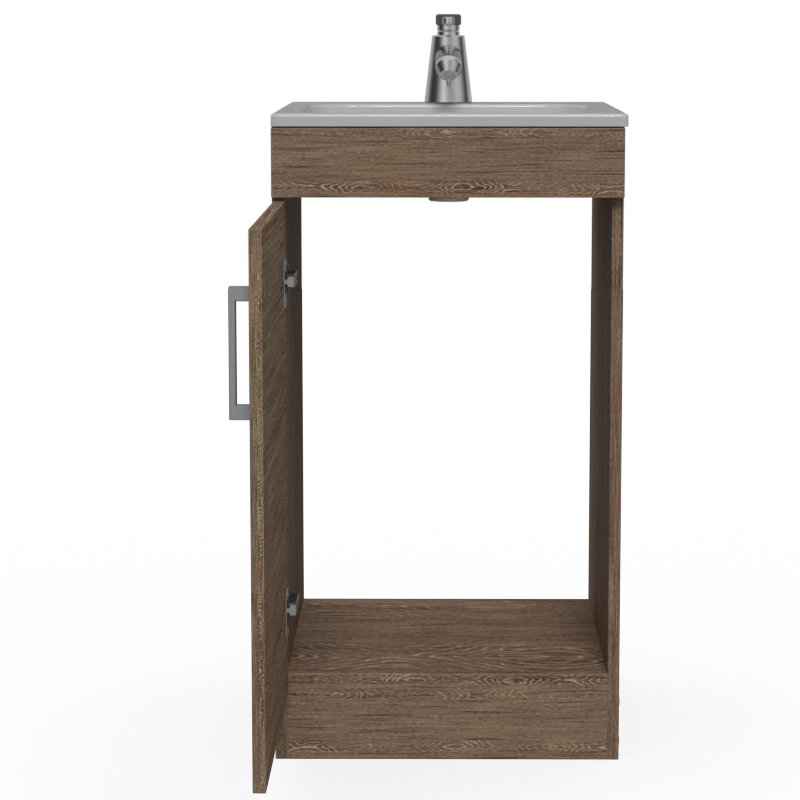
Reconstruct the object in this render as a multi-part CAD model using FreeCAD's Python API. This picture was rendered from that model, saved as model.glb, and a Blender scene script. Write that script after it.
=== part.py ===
import FreeCAD, Part
import math
import os

# Bathroom vanity cabinet: carcass, hinged door, drop-on basin and pillar tap.
# Millimetres, X to the right, Y to the back, Z up. The door stands open at a right angle.
# The origin is on the floor, midway between the side panels, at their front edges.

Vector = FreeCAD.Vector
along_x = Vector(1, 0, 0)
along_y = Vector(0, 1, 0)
along_z = Vector(0, 0, 1)

# Small clearances between pieces of one assembly
seat_gap = 0.05
screw_clearance = 0.1

# Shares common to all screws
screw_tip_share = 0.15
pan_crown_share = 0.7
pan_side_share = 0.45

# Carcass boards
cabinet_width = 455.0
cabinet_depth = 444.0
panel_height = 838.5
board = 15.0
board_edge_round = 0.8
shelf_height = 116.5
apron_height = 91.0
apron_shadow_gap = 1.6
rear_rail_height = 80.0

# Wall fixing holes in the rear rail
wall_hole_spacing = 240.0
wall_hole_radius = 3.0

# Door
door_reveal = 2.0
door_top_gap = 5.0
door_drop_below_shelf = 10.0
swing_clearance = 0.35

# Door handle
handle_inset = 42.0
handle_drop = 145.2
handle_length = 152.9
handle_stand = 25.9
handle_grip = 7.9
handle_leg = 16.3
handle_depth = 12.5
handle_edge_round = 1.2
handle_outer_round = 0.8
handle_screw_radius = 2.0
handle_screw_head_radius = 3.8
handle_screw_head_height = 2.2
handle_screw_grip = 10.0

# Concealed hinges
hinge_from_top = 104.3
hinge_from_bottom = 112.7
pivot_from_edge = 7.5
pivot_depth = 7.9
cup_radius = 17.5
cup_wall = 0.8
cup_rim = 1.0
cup_flange_end = 7.25
cup_flange_thickness = 1.2
cup_flange_corner = 4.0
cup_screw_spacing = 48.0
cup_screw_radius = 1.7
cup_screw_head_radius = 3.2
cup_screw_head_height = 1.2
cup_screw_length = 11.0
hinge_pin_radius = 1.2
hinge_pin_play = 0.05
hook_eye_radius = 2.1
hook_eye_clearance = 0.6
hook_floor_clearance = 0.7
hook_half_height = 3.0
hook_reach = 10.0
hook_fall = 0.7
link_side_play = 0.95
link_setback = 0.8
link_swing_clearance = 0.5
link_tail = 14.0
arm_half_height = 8.6
arm_sheet = 1.3
arm_wing_gap = 0.6
arm_stand = 14.4
arm_front_clearance = 0.9
arm_length = 54.0
rivet_radius = 1.8
rivet_head_radius = 3.0
rivet_head_height = 0.8
plate_setback = 37.0
plate_wing_margin = 4.2
plate_wing_width = 12.0
plate_wing_corner = 4.0
plate_wing_thickness = 2.0
plate_rib_side_play = 0.8
plate_rib_gap = 6.0
plate_rib_end_gap = 2.8
plate_screw_spacing = 32.0
plate_screw_radius = 2.4
plate_screw_head_radius = 3.8
plate_screw_head_height = 1.6
plate_screw_length = 12.0
arm_screw_behind_plate = 9.5
arm_screw_radius = 2.0
arm_screw_head_radius = 3.6
arm_screw_head_height = 1.2
arm_screw_length = 9.0

# Carcass screws, their cover caps, dowels and corner blocks
panel_screw_head_radius = 4.8
panel_screw_head_height = 3.0
panel_screw_shank_radius = 3.3
panel_screw_core_radius = 2.5
panel_screw_length = 50.0
panel_screw_end_margin = 60.0
panel_screw_side_margin = 24.0
screw_cap_radius = 6.5
screw_cap_thickness = 0.7
dowel_radius = 4.0
dowel_length = 30.0
dowel_in_apron = 10.0
dowel_margin = 20.0
corner_block_size = 22.0
corner_block_margin = 25.5
corner_block_wall = 5.0
corner_block_web = 2.5
block_screw_radius = 1.8
block_screw_head_radius = 3.6
block_screw_head_height = 1.8
block_screw_length = 14.0

# Basin
basin_side_overhang = 2.5
basin_back_overhang = 3.0
basin_lip = 17.0
basin_shift_x = 2.0
basin_corner_radius = 9.0
basin_edge_round = 5.0
basin_lower_round = 1.0
deck_thickness = 9.0
deck_bearing = 3.0
bowl_side_margin = 8.5
bowl_front_margin = 7.0
bowl_to_tap = 46.0
bowl_corner_extra = 16.0
bowl_depth = 88.0
bowl_wall = 8.0
bowl_draft = 14.0
bowl_floor_round = 46.0
bowl_rim_round = 5.0
floor_fall = 4.0
floor_fall_margin = 12.0

# Basin waste
waste_hole_radius = 22.5
waste_flange_radius = 31.0
waste_flange_thickness = 3.0
waste_recess = 2.0
waste_tube_radius = 20.5
waste_bore_radius = 16.0
strainer_thickness = 2.5
strainer_hole_radius = 3.2
strainer_hole_circle = 10.0
strainer_hole_count = 8
waste_gasket_radius = 29.0
waste_gasket_thickness = 3.0
waste_nut_radius = 27.6
waste_nut_height = 22.5
waste_nut_round = 2.0
waste_nut_rim = 5.0
waste_nut_waist = 1.4

# Tap
tap_setback = 58.0
tap_hole_radius = 17.5
tap_seal_thickness = 2.2
tap_seal_inset = 1.0
tap_base_radius = 34.1
tap_top_radius = 22.4
tap_body_height = 94.2
tap_edge_round = 1.5
spout_radius = 18.8
spout_reach = 88.0
spout_tilt = 11.0
spout_drop = 27.2
nozzle_length = 13.2
outlet_radius = 13.1
outlet_rim = 1.9
outlet_facing = 53.0
aerator_thickness = 5.0
aerator_inset = 0.6
aerator_rim = 2.0
aerator_dish = 1.2
tail_shank_radius = 11.0
tail_thread_radius = 10.48
tail_bore_radius = 6.0
tail_in_body = 24.0
tail_thread_length = 42.0
tail_washer_radius = 24.0
tail_washer_thickness = 2.5
tail_nut_across_flats = 30.0
tail_nut_height = 10.0
neck_radius = 16.1
collar_height = 6.0
collar_stem_radius = 11.5
collar_stem_length = 20.0
collar_gap = 0.4
skirt_height = 8.2
skirt_chamfer = 1.6
cap_radius = 18.2
cap_height = 15.6
cap_top_round = 4.0
cap_bottom_round = 2.4
spindle_radius = 4.0
spindle_in_collar = 20.0
spindle_in_cap = 9.0
spindle_play = 0.05
lever_half_width = 8.4
lever_height = 12.4
lever_reach = 52.0
lever_edge_round = 3.2
lever_lift = -0.6
tenon_half_width = 5.0
tenon_margin = 3.0
tenon_depth = 6.0
cap_screw_radius = 2.0
cap_screw_length = 8.0

# Derived places
half_width = cabinet_width / 2
panel_inner = half_width - board
apron_bottom = panel_height - apron_height
kick_height = shelf_height - board
rail_bottom = panel_height - rear_rail_height
door_width = cabinet_width - 2 * door_reveal
door_top = apron_bottom - door_top_gap
door_bottom = kick_height - door_drop_below_shelf
door_swing_radius = math.hypot(pivot_from_edge, pivot_depth)
door_gap = door_swing_radius - pivot_depth + swing_clearance
pivot_x = -half_width + door_reveal + pivot_from_edge
pivot_y = -(door_gap + pivot_depth)
door_inner_x = pivot_x + pivot_depth
door_outer_x = door_inner_x - board
door_hinge_y = pivot_y + pivot_from_edge
door_free_y = door_hinge_y - door_width
cup_edge_distance = pivot_from_edge - hook_eye_radius - hook_eye_clearance - cup_wall
cup_depth = pivot_depth + hook_eye_radius + hook_floor_clearance + cup_wall
cup_centre_y = door_hinge_y - cup_edge_distance - cup_radius
pin_flank_offset = pivot_y + hinge_pin_radius - cup_centre_y
hinge_pin_half_length = math.sqrt((cup_radius - cup_wall / 4) ** 2 - pin_flank_offset ** 2)
hinge_levels = {"upper": door_top - hinge_from_top, "lower": door_bottom + hinge_from_bottom}
cup_flange_length = cup_screw_spacing + 2 * cup_flange_end
cup_flange_width = 2 * (cup_radius + cup_rim)
link_half_height = arm_half_height - arm_sheet - link_side_play
arm_clear = plate_wing_thickness + arm_wing_gap
link_offset = arm_clear + link_setback
arm_front = -door_gap + cup_flange_thickness + arm_front_clearance
arm_back = arm_front + arm_length
link_left = -panel_inner + link_offset
link_right = -panel_inner + arm_stand - arm_sheet - seat_gap
rivet_axis = Vector((link_left + link_right) / 2, link_tail / 2, 0)
plate_wing_half_height = plate_screw_spacing / 2 + plate_screw_head_radius + plate_wing_margin
plate_rib_half_height = arm_half_height - arm_sheet - plate_rib_side_play
arm_screw_setback = plate_setback + arm_screw_behind_plate
handle_y = door_free_y + handle_inset
handle_z = door_top - handle_drop
basin_top = panel_height + basin_lip
deck_underside = basin_top - deck_thickness
basin_front = -board
basin_back = cabinet_depth + basin_back_overhang
basin_width = cabinet_width + 2 * basin_side_overhang
basin_depth = basin_back - basin_front
tap_y = basin_back - tap_setback
bowl_front = bowl_front_margin + bowl_wall
bowl_back = tap_y - bowl_to_tap
bowl_half_width = panel_inner - bowl_side_margin - bowl_wall - abs(basin_shift_x)
bowl_half_depth = (bowl_back - bowl_front) / 2
bowl_centre_y = (bowl_back + bowl_front) / 2
bowl_corner_radius = bowl_floor_round + bowl_corner_extra
floor_fall_radius = bowl_half_depth - bowl_draft - bowl_floor_round - floor_fall_margin
bowl_floor = basin_top - bowl_depth
waste_floor = bowl_floor - floor_fall
bowl_underside = waste_floor - bowl_wall
waste_seat = waste_floor - waste_recess
gasket_bottom = bowl_underside - waste_gasket_thickness
waste_bottom = gasket_bottom - waste_nut_height
tap_base = basin_top + tap_seal_thickness
tap_top = tap_base + tap_body_height
collar_top = tap_top + collar_height
skirt_bottom = collar_top + collar_gap
cap_bottom = skirt_bottom + skirt_height
corner_block_height = apron_height - 2 * corner_block_margin
corner_block_bottom = apron_bottom + corner_block_margin
corner_block_top = corner_block_bottom + corner_block_height
corner_block_middle = (corner_block_bottom + corner_block_top) / 2
tap_axis = Vector(basin_shift_x, tap_y, 0)
waste_axis = Vector(basin_shift_x, bowl_centre_y, 0)


def dipping(angle):
    # A direction to the front that dips by an angle in degrees.
    return Vector(0, -math.cos(math.radians(angle)), -math.sin(math.radians(angle)))


# Derived places of the tap's spout
spout_direction = dipping(spout_tilt)
spout_length = spout_reach / math.cos(math.radians(spout_tilt))
spout_root = Vector(tap_axis.x, tap_axis.y, tap_top - spout_drop)
spout_end = spout_root + spout_direction * spout_length
outlet_direction = dipping(outlet_facing)
outlet_centre = spout_end + outlet_direction * nozzle_length
aerator_radius = outlet_radius - outlet_rim
aerator_base = outlet_centre - outlet_direction * (aerator_thickness + aerator_inset)
nut_bottom = deck_underside - tail_washer_thickness - tail_nut_height


def box(low, high):
    size = high - low
    return Part.makeBox(size.x, size.y, size.z, low)


def rounded_board(low, high):
    plain = box(low, high)
    return plain.makeFillet(board_edge_round, plain.Edges)


def rod(radius, start, direction, length):
    return Part.makeCylinder(radius, length, start, direction)


def turned(profile, base, direction):
    # A profile of (radius, height) pairs spun about the axis that leaves base along direction.
    points = [Vector(radius, 0, height) for radius, height in profile]
    face = Part.Face(Part.makePolygon(points + points[:1]))
    solid = face.revolve(Vector(0, 0, 0), along_z, 360)
    solid.Placement = FreeCAD.Placement(base, FreeCAD.Rotation(along_z, direction))
    return solid


def prism(outline, bottom, height):
    # A flat outline of (x, y) corners raised from bottom by height.
    points = [Vector(x, y, bottom) for x, y in outline]
    return Part.Face(Part.makePolygon(points + points[:1])).extrude(along_z * height)


def at_height(axis, height):
    return Vector(axis.x, axis.y, height)


def rounded_outline(centre, half_x, half_y, radius, height):
    # A closed rectangle with round corners, level at one height.
    diagonal = radius * math.sqrt(0.5)
    inner_x = half_x - radius
    inner_y = half_y - radius
    edges = []
    corners = [(1, -1), (1, 1), (-1, 1), (-1, -1)]
    turns = [((0, -1), (1, 0)), ((1, 0), (0, 1)), ((0, 1), (-1, 0)), ((-1, 0), (0, -1))]
    previous_end = None
    first_start = None
    for (sign_x, sign_y), (leave, arrive) in zip(corners, turns):
        hub = Vector(centre.x + sign_x * inner_x, centre.y + sign_y * inner_y, height)
        start = hub + Vector(leave[0] * radius, leave[1] * radius, 0)
        middle = hub + Vector(sign_x * diagonal, sign_y * diagonal, 0)
        end = hub + Vector(arrive[0] * radius, arrive[1] * radius, 0)
        if previous_end is not None:
            edges.append(Part.LineSegment(previous_end, start).toShape())
        else:
            first_start = start
        edges.append(Part.Arc(start, middle, end).toShape())
        previous_end = end
    edges.append(Part.LineSegment(previous_end, first_start).toShape())
    return Part.Wire(edges)


def countersunk_screw(base, direction, radius, head_radius, head_height, length, grow=0.0):
    # The head's flat top lies at base, and the point lies at length along direction.
    shank = radius + grow
    profile = [
        (0, 0),
        (head_radius + grow, 0),
        (shank, head_height),
        (shank, length - radius + grow),
        (shank * screw_tip_share, length + grow),
        (0, length + grow),
    ]
    return turned(profile, base, direction)


def pan_screw(base, direction, radius, head_radius, head_height, length):
    # The head stands on the surface at base, and the shank runs on along direction.
    profile = [
        (0, -head_height),
        (head_radius * pan_crown_share, -head_height),
        (head_radius, -head_height * pan_side_share),
        (head_radius, 0),
        (radius, 0),
        (radius, length - radius),
        (0, length),
    ]
    return turned(profile, base, direction)


def pilot_hole(base, direction, radius, length):
    return rod(radius + screw_clearance, base, direction, length + screw_clearance)


def panel_screw_places():
    # (Y, Z) of the screws that run through a side panel into the boards between the panels.
    shelf_z = shelf_height - board / 2
    shelf_ys = (panel_screw_end_margin, cabinet_depth / 2, cabinet_depth - panel_screw_end_margin)
    kick_zs = (panel_screw_side_margin, kick_height - panel_screw_side_margin)
    rail_zs = (rail_bottom + panel_screw_side_margin, panel_height - panel_screw_side_margin)
    places = [(y, shelf_z) for y in shelf_ys]
    places += [(board / 2, z) for z in kick_zs]
    places += [(cabinet_depth - board / 2, z) for z in rail_zs]
    return places


def panel_screw(base, direction, grow=0.0):
    # A stout screw: the shank fills the panel and the thinner core bites into the board behind it.
    head = panel_screw_head_radius + grow
    shank = panel_screw_shank_radius + grow
    core = panel_screw_core_radius + grow
    end = panel_screw_length + grow
    profile = [
        (0, 0),
        (head, 0),
        (shank, panel_screw_head_height),
        (shank, board),
        (core, board),
        (core, end - panel_screw_core_radius),
        (core * screw_tip_share, end),
        (0, end),
    ]
    return turned(profile, base, direction)


def panel_screws(grow=0.0):
    screws = []
    for side in (-1, 1):
        for y, z in panel_screw_places():
            screws.append(panel_screw(Vector(side * half_width, y, z), Vector(-side, 0, 0), grow))
    return screws


def screw_caps():
    caps = []
    for side in (-1, 1):
        for y, z in panel_screw_places():
            profile = [
                (0, 0),
                (screw_cap_radius, 0),
                (screw_cap_radius - screw_cap_thickness, screw_cap_thickness),
                (0, screw_cap_thickness),
            ]
            caps.append(turned(profile, Vector(side * half_width, y, z), Vector(side, 0, 0)))
    return caps


def dowels(grow=0.0):
    # Dowels that hold the apron to the front edges of the side panels.
    pins = []
    for side in (-1, 1):
        for z in (apron_bottom + dowel_margin, panel_height - dowel_margin):
            start = Vector(side * (half_width - board / 2), -dowel_in_apron - grow, z)
            pins.append(rod(dowel_radius + grow, start, along_y, dowel_length + 2 * grow))
    return pins


def block_screw_places():
    # Head seat and direction of the screws of each corner block.
    places = []
    middle = (corner_block_size + corner_block_wall) / 2
    quarter = corner_block_height / 4
    for side in (-1, 1):
        face = side * panel_inner
        into_panel = Vector(face - side * corner_block_wall, middle, corner_block_middle + quarter)
        into_apron = Vector(face - side * middle, corner_block_wall, corner_block_middle - quarter)
        places.append((into_panel, Vector(side, 0, 0)))
        places.append((into_apron, Vector(0, -1, 0)))
    return places


def corner_blocks():
    # Angle blocks behind the apron: two walls with a web across the middle.
    blocks = []
    web_bottom = corner_block_middle - corner_block_web / 2
    for side in (-1, 1):
        face = side * panel_inner
        reach = face - side * corner_block_size
        inner = face - side * corner_block_wall
        near_wall = box(
            Vector(min(face, inner), 0, corner_block_bottom),
            Vector(max(face, inner), corner_block_size, corner_block_top),
        )
        front_wall = box(
            Vector(min(face, reach), 0, corner_block_bottom),
            Vector(max(face, reach), corner_block_wall, corner_block_top),
        )
        web = prism(
            [(face, 0), (reach, 0), (face, corner_block_size)], web_bottom, corner_block_web
        )
        blocks.append(near_wall.fuse([front_wall, web]).removeSplitter())
    for seat, direction in block_screw_places():
        hole = pilot_hole(seat, direction, block_screw_radius, corner_block_wall)
        blocks = [block.cut(hole) for block in blocks]
    return blocks


def block_screws():
    return [
        pan_screw(
            seat, direction, block_screw_radius, block_screw_head_radius,
            block_screw_head_height, block_screw_length,
        )
        for seat, direction in block_screw_places()
    ]


def block_pilot_holes():
    return [
        pilot_hole(seat, direction, block_screw_radius, block_screw_length)
        for seat, direction in block_screw_places()
    ]


def side_panel(side):
    outer = side * half_width
    inner = side * panel_inner
    panel = rounded_board(
        Vector(min(outer, inner), 0, 0),
        Vector(max(outer, inner), cabinet_depth, panel_height),
    )
    return panel.cut(panel_screws(screw_clearance) + dowels(seat_gap) + block_pilot_holes())


def left_side_panel():
    panel = side_panel(-1)
    for level in hinge_levels.values():
        for seat in plate_screw_seats(level):
            panel = panel.cut(pilot_hole(seat, Vector(-1, 0, 0), plate_screw_radius, plate_screw_length))
    return panel


def base_shelf():
    shelf = rounded_board(
        Vector(-panel_inner, 0, shelf_height - board),
        Vector(panel_inner, cabinet_depth, shelf_height),
    )
    return shelf.cut(panel_screws(screw_clearance))


def kick_board():
    kick = rounded_board(Vector(-panel_inner, 0, 0), Vector(panel_inner, board, kick_height))
    return kick.cut(panel_screws(screw_clearance))


def front_apron():
    apron = rounded_board(
        Vector(-half_width, -board, apron_bottom),
        Vector(half_width, 0, panel_height - apron_shadow_gap),
    )
    return apron.cut(dowels(seat_gap) + block_pilot_holes())


def rear_rail():
    rail = rounded_board(
        Vector(-panel_inner, cabinet_depth - board, rail_bottom),
        Vector(panel_inner, cabinet_depth, panel_height),
    )
    holes = []
    for x in (-wall_hole_spacing / 2, wall_hole_spacing / 2):
        start = Vector(x, cabinet_depth - board, (rail_bottom + panel_height) / 2)
        holes.append(rod(wall_hole_radius, start, along_y, board))
    return rail.cut(panel_screws(screw_clearance) + holes)


def handle_screw_levels():
    offset = (handle_length - handle_leg) / 2
    return (handle_z - offset, handle_z + offset)


def handle_screws(grow=0.0):
    return [
        countersunk_screw(
            Vector(door_inner_x, handle_y, z), Vector(-1, 0, 0), handle_screw_radius,
            handle_screw_head_radius, handle_screw_head_height, board + handle_screw_grip, grow,
        )
        for z in handle_screw_levels()
    ]


def door_panel():
    door = rounded_board(
        Vector(door_outer_x, door_free_y, door_bottom),
        Vector(door_inner_x, door_hinge_y, door_top),
    )
    cuts = handle_screws(screw_clearance)
    for level in hinge_levels.values():
        mouth = Vector(door_inner_x, cup_centre_y, level)
        cuts.append(rod(cup_radius + screw_clearance, mouth, Vector(-1, 0, 0), cup_depth + seat_gap))
        for seat in cup_screw_seats(level):
            cuts.append(pilot_hole(seat, Vector(-1, 0, 0), cup_screw_radius, cup_screw_length))
    return door.cut(cuts)


def door_handle():
    # A flat bar bent into a D: two legs stand on the door and the grip joins them.
    face = door_outer_x
    low_y = handle_y - handle_depth / 2
    high_y = handle_y + handle_depth / 2
    half = handle_length / 2
    bar = box(Vector(face - handle_stand, low_y, handle_z - half), Vector(face, high_y, handle_z + half))
    outer_edges = [edge for edge in bar.Edges if edge.BoundBox.XMax < face - handle_stand / 2]
    bar = bar.makeFillet(handle_outer_round, outer_edges)
    gap_x = face - handle_stand + handle_grip
    gap_half = half - handle_leg
    gap = box(
        Vector(gap_x, low_y - handle_depth, handle_z - gap_half),
        Vector(face + handle_stand, high_y + handle_depth, handle_z + gap_half),
    )
    handle = bar.cut(gap)
    gap_rim = [
        edge for edge in handle.Edges
        if edge.BoundBox.YLength < seat_gap
        and edge.BoundBox.XMin > gap_x - seat_gap
        and edge.BoundBox.ZMin > handle_z - gap_half - seat_gap
        and edge.BoundBox.ZMax < handle_z + gap_half + seat_gap
    ]
    return handle.makeFillet(handle_edge_round, gap_rim).cut(handle_screws(seat_gap))


def cup_screw_seats(level):
    half = cup_screw_spacing / 2
    x = door_inner_x + cup_flange_thickness
    return [Vector(x, cup_centre_y, level - half), Vector(x, cup_centre_y, level + half)]


def hinge_pin(level, grow=0.0):
    start = Vector(pivot_x, pivot_y, level - hinge_pin_half_length - grow)
    return rod(hinge_pin_radius + grow, start, along_z, 2 * (hinge_pin_half_length + grow))


def hinge_cup(level):
    # A pressed cup with a flange that screws to the door's inner face.
    mouth = Vector(door_inner_x, cup_centre_y, level)
    flange_low = Vector(
        door_inner_x,
        cup_centre_y - cup_flange_width / 2,
        level - cup_flange_length / 2,
    )
    flange_high = Vector(
        door_inner_x + cup_flange_thickness,
        cup_centre_y + cup_flange_width / 2,
        level + cup_flange_length / 2,
    )
    flange = box(flange_low, flange_high)
    flange = flange.makeFillet(
        cup_flange_corner, [edge for edge in flange.Edges if edge.BoundBox.XLength > cup_wall]
    )
    cup = rod(cup_radius, mouth, Vector(-1, 0, 0), cup_depth)
    hollow_start = mouth - along_x * (cup_depth - cup_wall)
    hollow = rod(cup_radius - cup_wall, hollow_start, along_x, cup_depth + cup_flange_thickness)
    cuts = [hollow, hinge_pin(level, seat_gap)]
    for seat in cup_screw_seats(level):
        cuts.append(pilot_hole(seat, Vector(-1, 0, 0), cup_screw_radius, cup_flange_thickness))
    return flange.fuse(cup).cut(cuts).removeSplitter()


def hinge_link(level):
    # The knuckle: a block held in the arm, with a hook that turns on the pin inside the cup.
    block = box(
        Vector(link_left, pivot_y - hook_eye_radius, level - link_half_height),
        Vector(link_right, link_tail, level + link_half_height),
    )
    sweep_start = Vector(pivot_x, pivot_y, level - link_half_height)
    sweep = rod(door_swing_radius + link_swing_clearance, sweep_start, along_z, 2 * link_half_height)
    block = block.cut(sweep)
    outline = [
        (pivot_x, pivot_y + hook_eye_radius),
        (pivot_x + hook_reach, pivot_y - hook_fall),
        (link_right, pivot_y - hook_fall),
        (link_right, pivot_y - hook_eye_radius),
        (pivot_x, pivot_y - hook_eye_radius),
    ]
    hook = prism(outline, level - hook_half_height, 2 * hook_half_height)
    eye_start = Vector(pivot_x, pivot_y, level - hook_half_height)
    eye = rod(hook_eye_radius, eye_start, along_z, 2 * hook_half_height)
    bore = rod(hinge_pin_radius + hinge_pin_play, eye_start, along_z, 2 * hook_half_height)
    rivet_hole = rod(
        rivet_radius + seat_gap,
        at_height(rivet_axis, level - link_half_height),
        along_z,
        2 * link_half_height,
    )
    return block.fuse([hook, eye]).cut([bore, rivet_hole]).removeSplitter()


def hinge_arm(level):
    # A folded channel, open towards the side panel, that carries the knuckle.
    left = -panel_inner + arm_clear
    right = -panel_inner + arm_stand
    channel = box(
        Vector(left, arm_front, level - arm_half_height),
        Vector(right, arm_back, level + arm_half_height),
    )
    hollow = box(
        Vector(left, arm_front, level - arm_half_height + arm_sheet),
        Vector(right - arm_sheet, arm_back, level + arm_half_height - arm_sheet),
    )
    bends = [
        edge for edge in channel.Edges
        if edge.BoundBox.YLength > arm_length / 2 and edge.BoundBox.XMin > left + arm_sheet
    ]
    arm = channel.makeFillet(arm_sheet, bends).cut(hollow)
    rivet_hole = rod(
        rivet_radius + seat_gap,
        at_height(rivet_axis, level - arm_half_height),
        along_z,
        2 * arm_half_height,
    )
    screw_hole = pilot_hole(
        Vector(right, arm_screw_setback, level), Vector(-1, 0, 0), arm_screw_radius, arm_sheet
    )
    return arm.cut([rivet_hole, screw_hole])


def hinge_rivet(level):
    end = arm_half_height
    head = end + rivet_head_height
    profile = [
        (0, -head),
        (rivet_head_radius, -head),
        (rivet_head_radius, -end),
        (rivet_radius, -end),
        (rivet_radius, end),
        (rivet_head_radius, end),
        (rivet_head_radius, head),
        (0, head),
    ]
    return turned(profile, at_height(rivet_axis, level), along_z)


def plate_screw_seats(level):
    half = plate_screw_spacing / 2
    x = -panel_inner + plate_wing_thickness
    return [Vector(x, plate_setback, level - half), Vector(x, plate_setback, level + half)]


def hinge_plate(level):
    # A cross-shaped mounting plate: wings on the side panel and a rib that fills the arm.
    face = -panel_inner
    wing_face = face + plate_wing_thickness
    half_wing = plate_wing_width / 2
    wings = box(
        Vector(face, plate_setback - half_wing, level - plate_wing_half_height),
        Vector(wing_face, plate_setback + half_wing, level + plate_wing_half_height),
    )
    wing_corners = [edge for edge in wings.Edges if edge.BoundBox.XLength > seat_gap]
    wings = wings.makeFillet(plate_wing_corner, wing_corners)
    rib = box(
        Vector(face, link_tail + plate_rib_gap, level - plate_rib_half_height),
        Vector(face + arm_stand - arm_sheet, arm_back - plate_rib_end_gap, level + plate_rib_half_height),
    )
    cuts = [
        pilot_hole(seat, Vector(-1, 0, 0), plate_screw_radius, plate_wing_thickness)
        for seat in plate_screw_seats(level)
    ]
    arm_seat = Vector(face + arm_stand, arm_screw_setback, level)
    cuts.append(pilot_hole(arm_seat, Vector(-1, 0, 0), arm_screw_radius, arm_screw_length))
    return wings.fuse(rib).cut(cuts).removeSplitter()


def hinge_screws(seats, radius, head_radius, head_height, length):
    return [pan_screw(seat, Vector(-1, 0, 0), radius, head_radius, head_height, length) for seat in seats]


def bowl_solid(grow, floor, floor_round):
    # A rounded box whose walls lean in and turn into the floor, grown outwards by a wall.
    rim = rounded_outline(
        waste_axis,
        bowl_half_width + grow,
        bowl_half_depth + grow,
        bowl_corner_radius + grow,
        basin_top,
    )
    base = rounded_outline(
        waste_axis,
        bowl_half_width - bowl_draft + grow,
        bowl_half_depth - bowl_draft + grow,
        bowl_corner_radius + grow,
        floor,
    )
    solid = Part.makeLoft([rim, base], True, True)
    floor_edges = [edge for edge in solid.Edges if edge.BoundBox.ZMax < floor + seat_gap]
    return solid.makeFillet(floor_round, floor_edges)


def basin():
    centre = Vector(basin_shift_x, basin_front + basin_depth / 2, 0)
    outline = rounded_outline(
        centre, basin_width / 2, basin_depth / 2, basin_corner_radius, panel_height
    )
    slab = Part.Face(outline).extrude(along_z * basin_lip)
    top_edges = [edge for edge in slab.Edges if edge.BoundBox.ZMin > basin_top - seat_gap]
    slab = slab.makeFillet(basin_edge_round, top_edges)
    low_edges = [edge for edge in slab.Edges if edge.BoundBox.ZMax < panel_height + seat_gap]
    slab = slab.makeFillet(basin_lower_round, low_edges)
    pocket_x = panel_inner - deck_bearing
    pocket = box(
        Vector(-pocket_x, deck_bearing, panel_height),
        Vector(pocket_x, cabinet_depth - board - deck_bearing, deck_underside),
    )
    shell = bowl_solid(bowl_wall, bowl_underside, bowl_floor_round + bowl_wall)
    below_deck = box(
        Vector(-half_width, basin_front, bowl_underside),
        Vector(half_width, basin_back, (deck_underside + basin_top) / 2),
    )
    hollow = bowl_solid(0.0, bowl_floor, bowl_floor_round)
    body = slab.cut(pocket).fuse(shell.common(below_deck)).cut(hollow)
    fall = Part.makeCone(
        waste_flange_radius, floor_fall_radius, floor_fall, at_height(waste_axis, waste_floor), along_z
    )
    recess = rod(waste_flange_radius + seat_gap, at_height(waste_axis, waste_seat), along_z, waste_recess)
    waste_hole = rod(waste_hole_radius, at_height(waste_axis, bowl_underside), along_z, bowl_wall)
    tap_hole = rod(tap_hole_radius, at_height(tap_axis, deck_underside), along_z, deck_thickness)
    body = body.cut([fall, recess, waste_hole, tap_hole])

    rim = [
        edge for edge in body.Edges
        if edge.BoundBox.ZMin > basin_top - seat_gap
        and abs(edge.CenterOfMass.x - waste_axis.x) < bowl_half_width + seat_gap
        and abs(edge.CenterOfMass.y - waste_axis.y) < bowl_half_depth + seat_gap
    ]
    return body.makeFillet(bowl_rim_round, rim)


def waste_body():
    # Flange, tube and strainer that drain the bowl.
    flange_top = waste_seat + waste_flange_thickness
    flange_edge = waste_flange_thickness / 2
    profile = [
        (waste_bore_radius, waste_bottom),
        (waste_tube_radius, waste_bottom),
        (waste_tube_radius, waste_seat),
        (waste_flange_radius, waste_seat),
        (waste_flange_radius, waste_seat + flange_edge),
        (waste_flange_radius - flange_edge, flange_top),
        (waste_tube_radius, flange_top),
        (waste_bore_radius, waste_seat + flange_edge),
    ]
    tube = turned(profile, waste_axis, along_z)
    strainer_base = at_height(waste_axis, waste_seat - strainer_thickness)
    strainer = rod(waste_bore_radius + seat_gap, strainer_base, along_z, strainer_thickness)
    holes = [rod(strainer_hole_radius, strainer_base, along_z, strainer_thickness)]
    for step in range(strainer_hole_count):
        angle = 2 * math.pi * step / strainer_hole_count
        offset = Vector(math.cos(angle), math.sin(angle), 0) * strainer_hole_circle
        holes.append(rod(strainer_hole_radius, strainer_base + offset, along_z, strainer_thickness))
    return tube.fuse(strainer.cut(holes)).removeSplitter()


def waste_gasket():
    inner = waste_tube_radius + seat_gap
    profile = [
        (inner, gasket_bottom),
        (waste_gasket_radius, gasket_bottom),
        (waste_gasket_radius, bowl_underside),
        (inner, bowl_underside),
    ]
    return turned(profile, waste_axis, along_z)


def waste_nut():
    # A hand-tightened ring with a waist between its two rims.
    inner = waste_tube_radius + seat_gap
    top = gasket_bottom
    waist = waste_nut_radius - waste_nut_waist
    profile = [
        (inner, waste_bottom),
        (waste_nut_radius - waste_nut_round, waste_bottom),
        (waste_nut_radius, waste_bottom + waste_nut_round),
        (waste_nut_radius, waste_bottom + waste_nut_rim),
        (waist, waste_bottom + waste_nut_rim + waste_nut_waist),
        (waist, top - waste_nut_rim - waste_nut_waist),
        (waste_nut_radius, top - waste_nut_rim),
        (waste_nut_radius, top),
        (inner, top),
    ]
    return turned(profile, waste_axis, along_z)


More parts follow.
